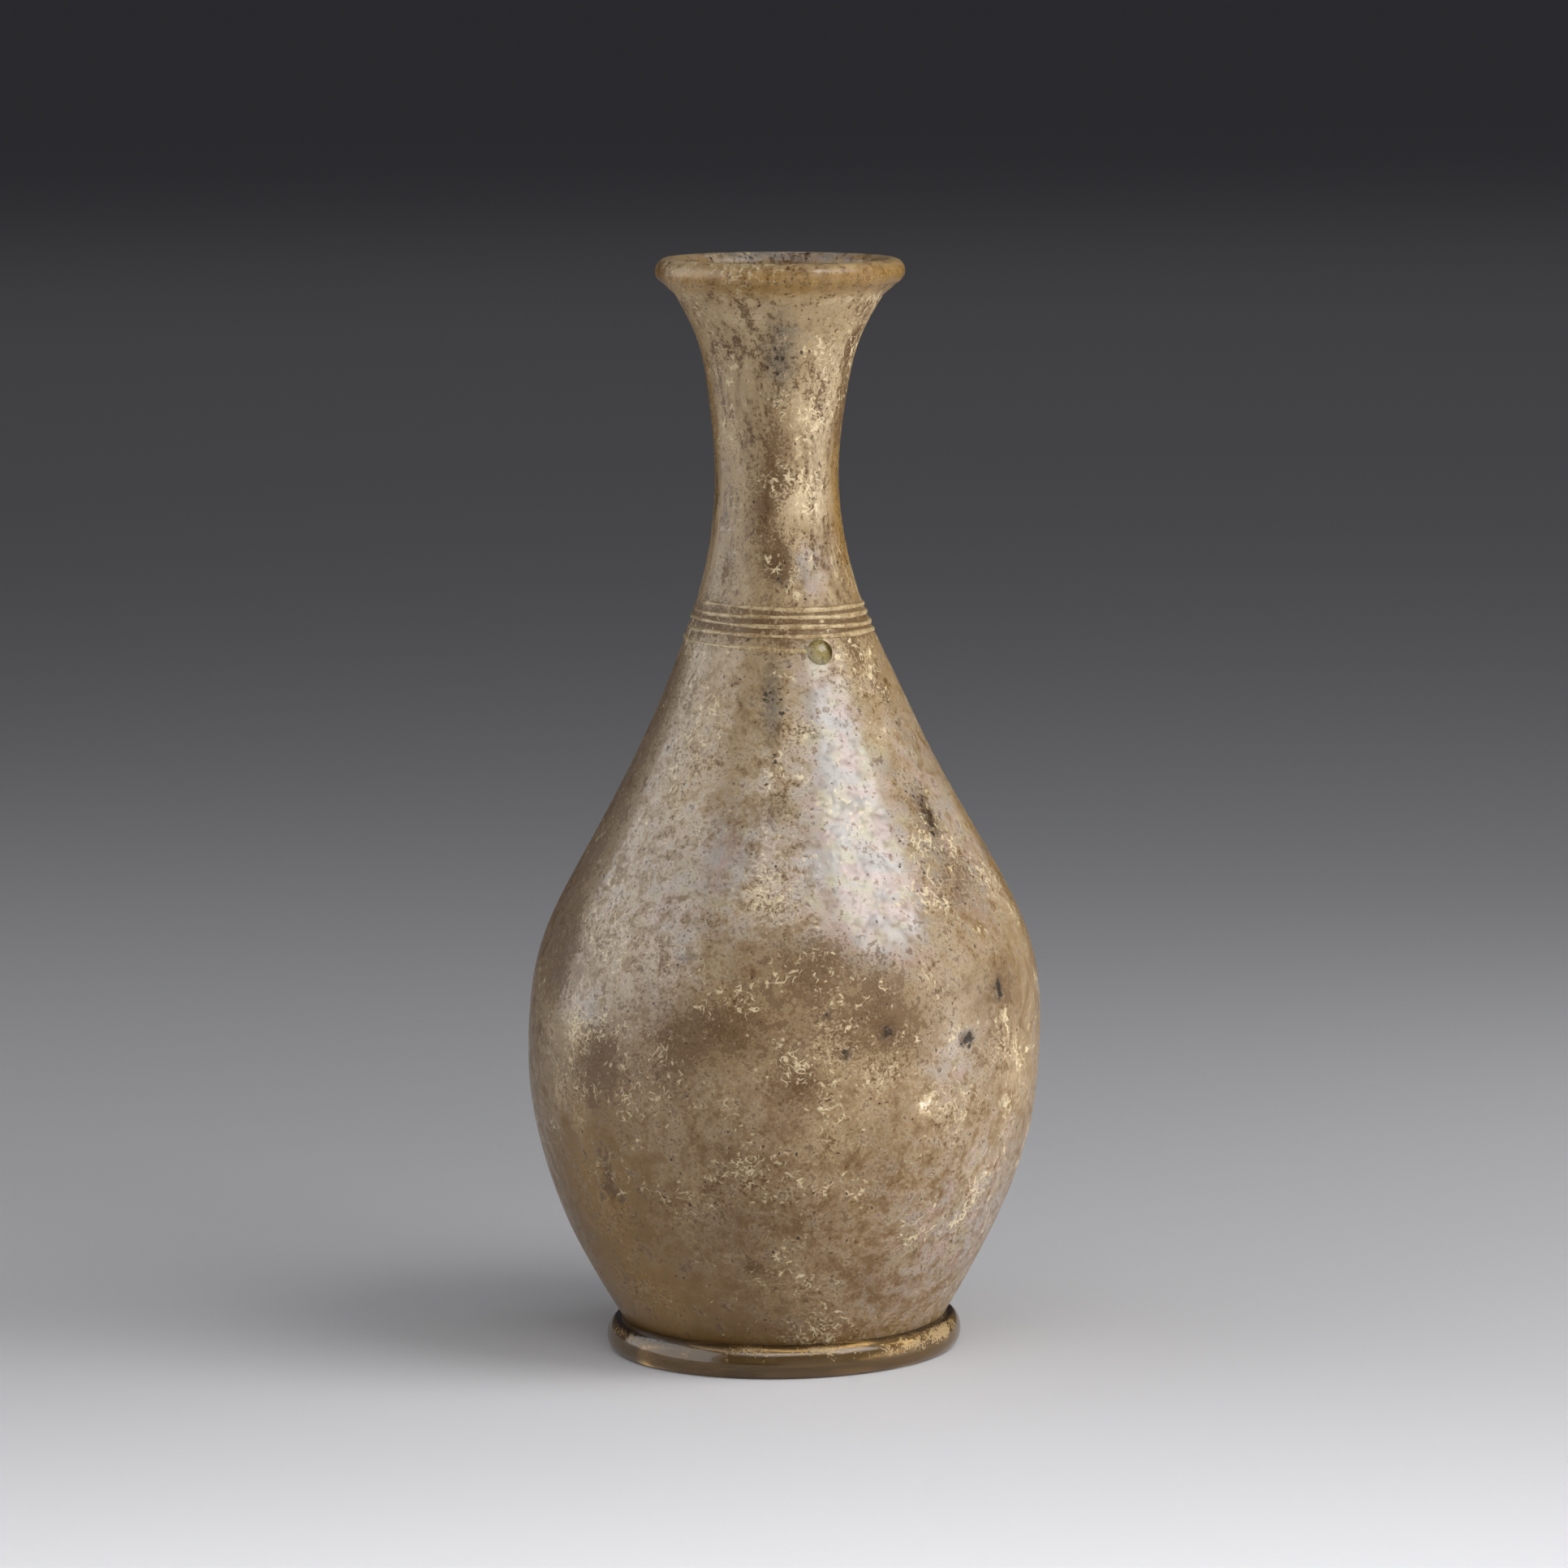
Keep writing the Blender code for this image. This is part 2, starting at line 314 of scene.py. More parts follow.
    def underside(self, spacing: float, scar_depth: float) -> list[Point]:
        """Return the points of the underside, from inside its edge to its middle.

        Args:
            spacing: how far apart the points stand.
            scar_depth: how far the pontil scar's ring stands out.

        Returns:
            The points.
        """
        count = round(self.base_radius / spacing)
        points = []
        for radius in np.linspace(self.base_radius, 0, count)[1:]:
            nearness = max(0.0, 1 - abs(radius - self.scar_radius) / (self.scar_width / 2))
            points.append((float(radius), self.kick(radius) - scar_depth * math.sqrt(nearness)))
        return points

    def rim(self, steps: int) -> list[Point]:
        """Return the points of the rolled rim, from its underside round its top to its inner side.

        Args:
            steps: how many steps the roll has.

        Returns:
            The (radius, height) points.
        """
        roll = self.rim_thickness / 2
        middle = Vector((self.rim_radius - roll, self.rim_height - roll))
        points = []
        for step in range(steps + 1):
            angle = math.radians(self.rim_from + self.rim_turn * step / steps)
            points.append((middle.x + roll * math.cos(angle), middle.y + roll * math.sin(angle)))
        return points


def moved_outline(points: Sequence[Point], distance: Callable[[float], float]) -> list[Point]:
    """Move an outline along its own normals.

    Args:
        points: (radius, height) points that run down the outside and in under the base.
        distance: how far to move outwards at a height, negative for inwards.

    Returns:
        The moved outline.
    """
    moved = []
    for i, (radius, height) in enumerate(points):
        before = Vector(points[max(i - 1, 0)])
        after = Vector(points[min(i + 1, len(points) - 1)])
        along = (after - before).normalized()
        outwards = Vector((-along.y, along.x)) if radius > 0 else Vector((0, -1))
        shifted = Vector((radius, height)) + outwards * distance(height)
        moved.append((shifted.x, shifted.y))
    return moved


def start_point(name: str, place: Sequence[float]) -> bpy.types.Object:
    """Add a small plane and merge it to one point, for a shape that is drawn by extrusion.

    Args:
        name: the new object's name.
        place: where the point is.

    Returns:
        The new object, in edit mode.
    """
    bpy.ops.object.select_all(action="DESELECT")
    bpy.ops.mesh.primitive_plane_add(size=MM, location=place)
    piece = bpy.context.object
    piece.name = name
    piece.data.name = name
    bpy.ops.object.transform_apply(location=True, rotation=True, scale=True)
    bpy.ops.object.mode_set(mode="EDIT")
    bpy.ops.mesh.merge(type="CENTER")
    return piece


def close_up() -> None:
    """Merge the edited mesh's double points, turn its faces outwards and leave edit mode."""
    bpy.ops.mesh.select_all(action="SELECT")
    bpy.ops.mesh.remove_doubles(threshold=MERGE_GAP)
    bpy.ops.mesh.normals_make_consistent(inside=False)
    bpy.ops.object.mode_set(mode="OBJECT")


def lathe(name: str, profile: Sequence[Point], steps: int) -> bpy.types.Object:
    """Draw a profile by extruding a point along it, and spin it round the Z axis.

    Args:
        name: the new object's name.
        profile: (radius, height) points.
        steps: how many steps make the full turn.

    Returns:
        The turned object, with its normals outwards.
    """
    piece = start_point(name, (profile[0][0], 0, profile[0][1]))
    for (radius, height), (next_radius, next_height) in zip(profile, profile[1:]):
        step = (next_radius - radius, 0, next_height - height)
        bpy.ops.mesh.extrude_region_move(TRANSFORM_OT_translate={"value": step})
    bpy.ops.mesh.select_all(action="SELECT")
    bpy.ops.mesh.spin(steps=steps, angle=math.tau, center=(0, 0, 0), axis=(0, 0, 1))
    close_up()
    return piece


def read_points(piece: bpy.types.Object) -> np.ndarray:
    """Read a piece's vertices.

    Args:
        piece: the piece.

    Returns:
        An array of x, y, z rows.
    """
    points = np.empty(len(piece.data.vertices) * 3)
    piece.data.vertices.foreach_get("co", points)
    return points.reshape(-1, 3)


def write_points(piece: bpy.types.Object, points: np.ndarray) -> None:
    """Write x, y, z rows back to a piece's vertices."""
    piece.data.vertices.foreach_set("co", points.ravel())
    piece.data.update()


def select_only(piece: bpy.types.Object) -> None:
    """Make a piece the active object and the only one selected.

    Args:
        piece: the piece.
    """
    bpy.ops.object.select_all(action="DESELECT")
    bpy.context.view_layer.objects.active = piece
    piece.select_set(True)


def apply_boolean(piece: bpy.types.Object, cutter: bpy.types.Object, operation: str) -> None:
    """Join a piece with a cutter, apply the modifier and remove the cutter.

    Args:
        piece: the piece that is kept.
        cutter: the piece that is used up.
        operation: UNION or DIFFERENCE.
    """
    boolean = piece.modifiers.new(operation.capitalize(), "BOOLEAN")
    boolean.solver = "EXACT"
    boolean.operation = operation
    boolean.object = cutter
    select_only(piece)
    bpy.ops.object.modifier_apply(modifier=boolean.name)
    bpy.data.objects.remove(cutter)


def finish_piece(piece: bpy.types.Object, node: str,
                 material: bpy.types.Material) -> None:
    """Shade a finished piece and put it in the place of its construction node.

    Args:
        piece: the finished piece.
        node: the construction node that it replaces.
        material: its finish.
    """
    select_only(piece)
    bpy.ops.object.shade_smooth()
    piece.data.materials.clear()
    piece.data.materials.append(material)
    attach(piece, "root")
    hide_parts(node)
    LOG.info("%s: %d faces", piece.name, len(piece.data.polygons))


def linear(hex_colour: str) -> tuple[float, float, float, float]:
    """Turn an sRGB hex colour such as "b7a58e" to linear red, green, blue and alpha."""
    parts = [int(hex_colour[i:i + 2], 16) / 255 for i in (0, 2, 4)]
    return (*(part / 12.92 if part <= 0.04045 else ((part + 0.055) / 1.055) ** 2.4
              for part in parts), 1.0)


def set_inputs(node: bpy.types.Node, inputs: dict) -> None:
    """Set a node's inputs to values or link them to sockets.

    Args:
        node: the node.
        inputs: values and sockets, by the input's name or number.
    """
    for place, value in inputs.items():
        if isinstance(value, Socket):
            node.id_data.links.new(value, node.inputs[place])
        else:
            node.inputs[place].default_value = value


def add_node(tree: bpy.types.NodeTree, kind: str, inputs: dict | None = None,
             output: int | str = 0, **settings: object) -> Socket:
    """Add a shader node with its settings and links.

    Args:
        tree: the node tree.
        kind: the node's type, without the ShaderNode prefix.
        inputs: values and sockets, by the input's name or number.
        output: the name or number of the output to return.
        settings: the node's own properties.

    Returns:
        The output socket.
    """
    node = tree.nodes.new("ShaderNode" + kind)
    for setting, value in settings.items():
        setattr(node, setting, value)
    set_inputs(node, inputs or {})
    return node.outputs[output]


def start_material(name: str) -> tuple[bpy.types.Material, Callable]:
    """Make a new material.

    Args:
        name: the material's name.

    Returns:
        The material, and a function that adds a node to its tree.
    """
    material = bpy.data.materials.new(name)
    material.use_nodes = True
    return material, partial(add_node, material.node_tree)


def link_looks(material: bpy.types.Material, looks: dict[str, object]) -> None:
    """Set or link the inputs of a material's shader."""
    set_inputs(material.node_tree.nodes["Principled BSDF"], looks)


@dataclass(frozen=True)
class Spots:
    """A pattern of noise: the size of its spots, how many finer steps it has and their strength."""

    size: float
    detail: float = 2
    roughness: float = 0.5

    def on(self, place: Socket) -> dict[str, object]:
        """Return the pattern's settings at some coordinates."""
        return {"Vector": place, "Scale": 1 / self.size, "Detail": self.detail,
                "Roughness": self.roughness}


@dataclass(frozen=True)
class Rise:
    """How a layer's share rises, from nothing at low to its most at high, eased where smooth."""

    low: float
    high: float
    most: float = 1.0
    smooth: bool = True


def weigh(add: Callable, start: float | Socket, parts: Parts, clamp: bool = False) -> Socket:
    """Add up patterns, each times its weight.

    Args:
        add: the function that adds a node.
        start: what the sum starts from.
        parts: the patterns and their weights.
        clamp: whether the sum is kept from 0 to 1.

    Returns:
        The sum.
    """
    total = start
    for part, weight in parts:
        total = add("Math", {0: part, 1: weight, 2: total}, operation="MULTIPLY_ADD",
                    use_clamp=clamp)
    return total


def share(add: Callable, rise: Rise, start: float | Socket, parts: Parts = ()) -> Socket:
    """Turn a weighted sum of patterns into how much of a layer shows.

    Args:
        add: the function that adds a node.
        rise: how the share rises with the sum.
        start: what the sum starts from.
        parts: the patterns and their weights.

    Returns:
        The layer's share.
    """
    return add("MapRange", {"Value": weigh(add, start, parts), "From Min": rise.low,
                            "From Max": rise.high, "To Max": rise.most},
               interpolation_type="SMOOTHSTEP" if rise.smooth else "LINEAR")


def lay_coats(add: Callable, ground: str,
              coats: Sequence[tuple[float | Socket, str | Socket]]) -> Socket:
    """Lay colours over a ground, one after another.

    Args:
        add: the function that adds a node.
        ground: the hex colour underneath.
        coats: each coat's share, and its hex colour or its pattern of colours.

    Returns:
        The colour that they make.
    """
    colour = linear(ground)
    for part, coat in coats:
        paint = linear(coat) if isinstance(coat, str) else coat
        colour = add("Mix", {0: part, 6: colour, 7: paint}, 2, data_type="RGBA")
    return colour


@dataclass(frozen=True)
class FilmedGlass:
    """Weathered soda-lime glass, free-blown, after centuries in the ground.

    The eye sees smoky brown, half see-through glass under a cream film that thins to bare glass in
    places, with brown stains, dark pits, pale flaking strokes and a faint rainbow where the film
    has split into layers. A strip of painted shade runs down its left side, and the rainbow also
    makes a painted highlight on the shoulder and painted reflections on the left of the belly.
    """

    name: str = "weathered_soda_lime_glass"
    glass: str = "86643a"
    film: str = "bba27a"
    film_light: str = "cfba98"
    dark_speck: str = "5e421f"
    silver: str = "c6bab0"
    bare: str = "c8a05a"
    # Also the colour of the painted shade down the left side
    stain: str = "6a4a22"
    smoke: str = "5c564a"
    pit: str = "2c1d0c"
    flake: str = "dccba4"
    chip: str = "ece0cc"
    pink: str = "c8a2b0"
    green: str = "b8be8c"
    blue: str = "9eb0c2"
    clouds: Spots = Spots(17 * MM, 3)
    mottles: Spots = Spots(3.8 * MM, 6, 0.66)
    streaks: Spots = Spots(2.6 * MM, 6, 0.74)
    speckles: Spots = Spots(1.1 * MM, 4, 0.7)
    grains: Spots = Spots(0.5 * MM, 2, 0.6)
    crowds: Spots = Spots(12 * MM)
    tints: Spots = Spots(5 * MM)
    flaking: Spots = Spots(13 * MM)
    stroke_lines: Spots = Spots(2.6 * MM, 1)
    stroke_pieces: Spots = Spots(1.7 * MM, 1)
    pit_edges: Spots = Spots(0.5 * MM)
    pit_cell: float = 1.7 * MM
    neck_drawn: float = 0.3
    neck_rise: Rise = Rise(145 * MM, 175 * MM, 0.8, smooth=False)
    film_rise: Rise = Rise(2.4, 3.95)
    fleck_rise: Rise = Rise(1.37, 1.65, 0.7)
    dusk_rise: Rise = Rise(0.3, 0.5, 0.75)
    shine_rise: Rise = Rise(1.85, 3.0, 0.7)
    green_rise: Rise = Rise(0.42, 0.62, smooth=False)
    blue_rise: Rise = Rise(0.45, 0.6, smooth=False)
    stain_and_painted_shade_rise: Rise = Rise(4.4, 4.85, 0.8)
    smoke_rise: Rise = Rise(0.15, 0.85, 0.7, smooth=False)
    chip_rise: Rise = Rise(2.08, 2.36, 0.85, smooth=False)
    line_rise: Rise = Rise(0.034, 0.012)
    piece_rise: Rise = Rise(1.1, 1.2, smooth=False)
    pit_rise: Rise = Rise(-0.12, 0.03, 0.85)
    heap_rise: Rise = Rise(1.75, 2.1, 0.85)
    coat_rise: Rise = Rise(0.0, 1.0, smooth=False)
    body_height: float = 140 * MM
    dull_below: float = 80 * MM
    gloss_at_foot: float = -4.55
    gloss_above: float = -4.15
    bare_most: float = 0.8
    rainbow_share: float = 0.42
    stroke_layers: int = 3
    stroke_bend: float = 0.6
    line_step: float = 3.7
    piece_step: float = 5.1
    stroke_most: float = 0.7
    ior: float = 1.5
    specular: float = 0.35
    coat_roughness: float = 0.12
    relief_depth: float = 0.15 * MM
    relief: float = 0.5
    film_relief: float = 0.15

    def build(self) -> bpy.types.Material:
        """Make the material.

        Returns:
            The material.
        """
        material, add = start_material(self.name)
        place = add("TexCoord", output="Object")
        height = add("SeparateXYZ", {0: place}, "Z")
        stain, crust, cleared, sheen, soil = (
            add("Attribute", output="Fac", attribute_name=kind.value) for kind in Weathering)
        cloud, mottle, speckle, grain, crowd = (
            add("TexNoise", spots.on(place))
            for spots in (self.clouds, self.mottles, self.speckles, self.grains, self.crowds))
        fine = weigh(add, speckle, ((grain, 0.6),))
        bare = add("Math", {0: cleared, 1: self.bare_most}, operation="MULTIPLY", use_clamp=True)

        # The neck was drawn out, so its film lies in streaks along it
        drawn = add("Mapping", {"Vector": place, "Scale": (1, 1, self.neck_drawn)})
        streak = add("TexNoise", self.streaks.on(drawn))
        on_neck = share(add, self.neck_rise, height)
        broken = add("Mix", {0: on_neck, 2: mottle, 3: streak}, data_type="FLOAT")
        streaked = add("Math", {0: streak, 1: 0.5}, operation="SUBTRACT")
        streaked = add("Math", {0: streaked, 1: on_neck}, operation="MULTIPLY")

        # Each layer adds up the patterns that make it more likely and takes away those that don't
        film = share(add, self.film_rise, 0.0, (
            (cloud, 0.9), (broken, 2.1), (fine, 1.7), (height, 0.6 / self.body_height),
            (crust, 0.35), (cleared, -0.7), (streaked, 4.0), (on_neck, -0.25)))
        fleck = share(add, self.fleck_rise, fine, (
            (crowd, 0.5), (crust, 0.2), (mottle, 0.4), (bare, -0.2), (streaked, 1.8)))
        dusk = share(add, self.dusk_rise, 0.8, (
            (crowd, 0.7), (fine, -1.0), (stain, 0.2), (soil, 0.1), (mottle, -0.4),
            (height, 0.05 / self.body_height), (streaked, -1.6)))
        # Iridescence, and on the shoulder's highlight and the left of the belly a painted highlight
        # and painted reflections
        shine = share(add, self.shine_rise, sheen, ((mottle, 2.2), (fine, 0.8)))
        # Real stains, and painted shade down the left side
        stain_and_painted_shade_share = share(add, self.stain_and_painted_shade_rise, stain, ((broken, 4.2), (speckle, 3.4), (crowd, 0.5)))
        smoky = share(add, self.smoke_rise, soil, ((mottle, 0.8), (fine, -0.6)))
        chip = share(add, self.chip_rise, crust, ((speckle, 1.6),))
        stroke = self.strokes(add, place, crust)
        pits = self.pits(add, place, soil)
        colour = lay_coats(add, self.glass, (
            (film, self.film), (bare, self.bare), (shine, self.rainbow(add, place)),
            (smoky, self.smoke), (stain_and_painted_shade_share, self.stain), (dusk, self.dark_speck),
            (fleck, self.film_light), (stroke, self.flake), (chip, self.chip), (pits, self.pit)))

        roughness = weigh(add, 0.3, ((film, 0.1), (speckle, 0.1), (bare, -0.12), (stain_and_painted_shade_share, 0.35)))
        clear = weigh(add, 0.6, (
            (film, -0.25), (bare, 0.12), (fleck, -0.3), (stroke, -0.3), (dusk, -0.2)), clamp=True)

        # The film's own gloss, worn off near the foot and where the surface is broken
        worn = add("MapRange", {"Value": height, "From Max": self.dull_below,
                                "To Min": self.gloss_at_foot, "To Max": self.gloss_above})
        coat = share(add, self.coat_rise, worn, (
            (mottle, 4.0), (streak, 2.0), (speckle, 3.0), (sheen, 0.15), (on_neck, -0.7),
            (fleck, -0.5), (dusk, -0.6), (stain_and_painted_shade_share, -0.9), (pits, -1.0)))
        relief = weigh(add, 0.0, (
            (broken, 0.8), (fine, 0.4), (fleck, 0.15), (stroke, 0.3), (pits, -0.5)))
        normal, film_normal = (
            add("Bump", {"Height": relief, "Strength": strength, "Distance": self.relief_depth})
            for strength in (self.relief, self.film_relief))
        link_looks(material, {
            "Base Color": colour, "Roughness": roughness, "Transmission Weight": clear,
            "Coat Weight": coat, "Coat Roughness": self.coat_roughness, "IOR": self.ior,
            "Specular IOR Level": self.specular, "Normal": normal, "Coat Normal": film_normal})
        return material

    def rainbow(self, add: Callable, place: Socket) -> Socket:
        """Mix the film's iridescence, a silvery ground with slow changes of pink, green and blue.

        On the shoulder's highlight and the left of the belly it is also a painted highlight and
        painted reflections.

        Args:
            add: the function that adds a node.
            place: the coordinates.

        Returns:
            The colour.
        """
        tint = add("TexNoise", self.tints.on(place), "Color")
        greenish = share(add, self.green_rise, add("SeparateColor", {0: tint}, "Red"))
        bluish = share(add, self.blue_rise, add("SeparateColor", {0: tint}, "Green"))
        tinted = lay_coats(add, self.pink, ((greenish, self.green), (bluish, self.blue)))
        return lay_coats(add, self.silver, ((self.rainbow_share, tinted),))

    def strokes(self, add: Callable, place: Socket, crust: Socket) -> Socket:
        """Draw the short pale curved strokes where the film has flaked.

        Args:
            add: the function that adds a node.
            place: the coordinates.
            crust: how crusted a place is.

        Returns:
            The strokes' share.
        """
        chance = weigh(add, add("TexNoise", self.flaking.on(place)), ((crust, 0.13),))
        drawn = 0.0
        for layer in range(self.stroke_layers):
            lines = {**self.stroke_lines.on(place), "W": self.line_step * layer}
            lines["Distortion"] = self.stroke_bend
            ridge = add("TexNoise", lines, noise_dimensions="4D")
            off = add("Math", {0: ridge, 1: 0.5}, operation="SUBTRACT")
            off = add("Math", {0: off}, operation="ABSOLUTE")
            line = share(add, self.line_rise, off)
            pieces = {**self.stroke_pieces.on(place), "W": self.piece_step * layer}
            piece = add("TexNoise", pieces, noise_dimensions="4D")
            shown = share(add, self.piece_rise, piece, ((chance, 0.9),))
            drawn = weigh(add, drawn, ((line, shown),), clamp=True)
        return add("Math", {0: drawn, 1: self.stroke_most}, operation="MULTIPLY")

    def pits(self, add: Callable, place: Socket, soil: Socket) -> Socket:
        """Draw the small dark pits that still hold dirt, and the heaps of dirt.

        Args:
            add: the function that adds a node.
            place: the coordinates.
            soil: how soiled a place is.

        Returns:
            The pits' share.
        """
        cells = {"Vector": place, "Scale": 1 / self.pit_cell}
        distance = add("TexVoronoi", cells)
        chance = add("SeparateColor", {0: add("TexVoronoi", cells, "Color")}, "Red")
        edge = add("TexNoise", self.pit_edges.on(place))
        small = share(add, self.pit_rise, -0.18, (
            (chance, 0.6), (soil, 0.3), (edge, -0.6), (distance, -1.0)))
        heap = share(add, self.heap_rise, soil, ((edge, 1.6),))
        return add("Math", {0: small, 1: heap}, operation="MAXIMUM")


@dataclass(frozen=True)
class CoilGlass:
    """Dark brown soda-lime glass, hot-worked and little weathered.

    The eye sees clear, glossy brown glass with cream dirt where it meets the vessel and a few
    cream flakes, with painted shade along that join and on its left side.
    """

    name: str = "brown_soda_lime_glass"
    glass: str = "98794b"
    dirt: str = "b29d78"
    # Colour of the painted shade where the coil meets the vessel and on its left side
    painted_shade: str = "35240f"
    mottles: Spots = Spots(3 * MM, 4)
    speckles: Spots = Spots(0.6 * MM, 3)
    dirt_rise: Rise = Rise(1.42, 1.9, 0.65)
    painted_shade_rise: Rise = Rise(0.5, 1.0, 0.9, smooth=False)
    ior: float = 1.5
    specular: float = 0.12
    relief_depth: float = 0.15 * MM
    relief: float = 0.2

    def build(self) -> bpy.types.Material:
        """Make the material.

        Returns:
            The material.
        """
        material, add = start_material(self.name)
        place = add("TexCoord", output="Object")
        crust, soil = (add("Attribute", output="Fac", attribute_name=kind.value)
                       for kind in (CRUST_AND_PAINTED_HIGHLIGHT, SOIL_AND_PAINTED_SHADE))
        mottle = add("TexNoise", self.mottles.on(place))
        speckle = add("TexNoise", self.speckles.on(place))
        dirty = share(add, self.dirt_rise, crust, ((mottle, 1.0), (speckle, 1.4)))
        # Painted shade where the coil meets the vessel and on its left side
        shaded = share(add, self.painted_shade_rise, soil)
        colour = lay_coats(add, self.glass, ((dirty, self.dirt), (shaded, self.painted_shade)))
        normal = add("Bump", {"Height": mottle, "Strength": self.relief,
                              "Distance": self.relief_depth})
        link_looks(material, {
            "Base Color": colour, "Roughness": weigh(add, 0.12, ((dirty, 0.4),)),
            "Transmission Weight": weigh(add, 0.85, ((dirty, -0.7),)), "IOR": self.ior,
            "Specular IOR Level": self.specular, "Normal": normal})
        return material


@dataclass(frozen=True)
class TrailGlass:
    """Trailed soda-lime glass: a filmed thread, and the clear yellow-green drop it starts from.

    The eye sees the thread as part of the filmed neck, and the drop as a small clear lens with a
    painted highlight on its lower left and painted shade on its right.
    """

    name: str = "trailed_soda_lime_glass"
    film: str = "c0aa82"
    groove: str = "8a6e46"
    drop: str = "d2c68a"
    # The colours of the painted highlight and the painted shade on the drop
    drop_painted_highlight: str = "f0e6c0"
    drop_painted_shade: str = "5c4a1c"
    mottles: Spots = Spots(2.5 * MM, 5, 0.65)
    speckles: Spots = Spots(0.5 * MM)
    film_rise: Rise = Rise(0.58, 0.88)
    ior: float = 1.5
    relief_depth: float = 0.08 * MM
    relief: float = 0.3

    def build(self) -> bpy.types.Material:
        """Make the material.

        Returns:
            The material.
        """
        material, add = start_material(self.name)
        place = add("TexCoord", output="Object")
        bare, crust, soil = (
            add("Attribute", output="Fac", attribute_name=kind.value)
            for kind in (BARE, CRUST_AND_PAINTED_HIGHLIGHT, SOIL_AND_PAINTED_SHADE))
        mottle = add("TexNoise", self.mottles.on(place))
        speckle = add("TexNoise", self.speckles.on(place))
        filmed = share(add, self.film_rise, mottle, ((speckle, 0.5),))
        # On the drop, the pale coat is a painted highlight on its lower left and the dark coat
        # painted shade on its right
        colour = lay_coats(add, self.groove, (
            (filmed, self.film), (bare, self.drop), (crust, self.drop_painted_highlight),
            (soil, self.drop_painted_shade)))
        normal = add("Bump", {"Height": filmed, "Strength": self.relief,
                              "Distance": self.relief_depth})
        link_looks(material, {
            "Base Color": colour, "Roughness": weigh(add, 0.32, ((bare, -0.27),)),
            "Transmission Weight": weigh(add, 0.15, ((bare, 0.7),)), "IOR": self.ior,
            "Normal": normal})
        return material


def write_layer(piece: bpy.types.Object, kind: Weathering, values: np.ndarray) -> None:
    """Write one layer of weathering to a piece's vertices.

    Args:
        piece: the piece.
        kind: the layer.
        values: one value for each vertex.
    """
    layer = piece.data.attributes.new(kind.value, "FLOAT", "POINT")
    layer.data.foreach_set("value", values.astype(np.float32))


def lay_patches(piece: bpy.types.Object, points: np.ndarray, patches: Sequence[Patch]) -> None:
    """Write the patches of weathering to a piece's vertices.

    Args:
        piece: the piece.
        points: where its vertices are on the upright form.
        patches: the patches.
    """
    side = np.degrees(np.arctan2(points[:, 0], -points[:, 1]))
    radius = np.hypot(points[:, 0], points[:, 1])
    for kind in Weathering:
        values = np.zeros(len(points))
        for patch in (patch for patch in patches if patch.kind is kind):
            turn = (side - patch.side + 180) % 360 - 180
            across = np.radians(turn) * radius / (patch.wide * MM / 2)
            up = (points[:, 2] - patch.height * MM) / (patch.tall * MM / 2)
            values += patch.strength * np.exp(-PATCH_FADE * (across ** 2 + up ** 2))
        write_layer(piece, kind, np.minimum(values, LAYER_MOST))


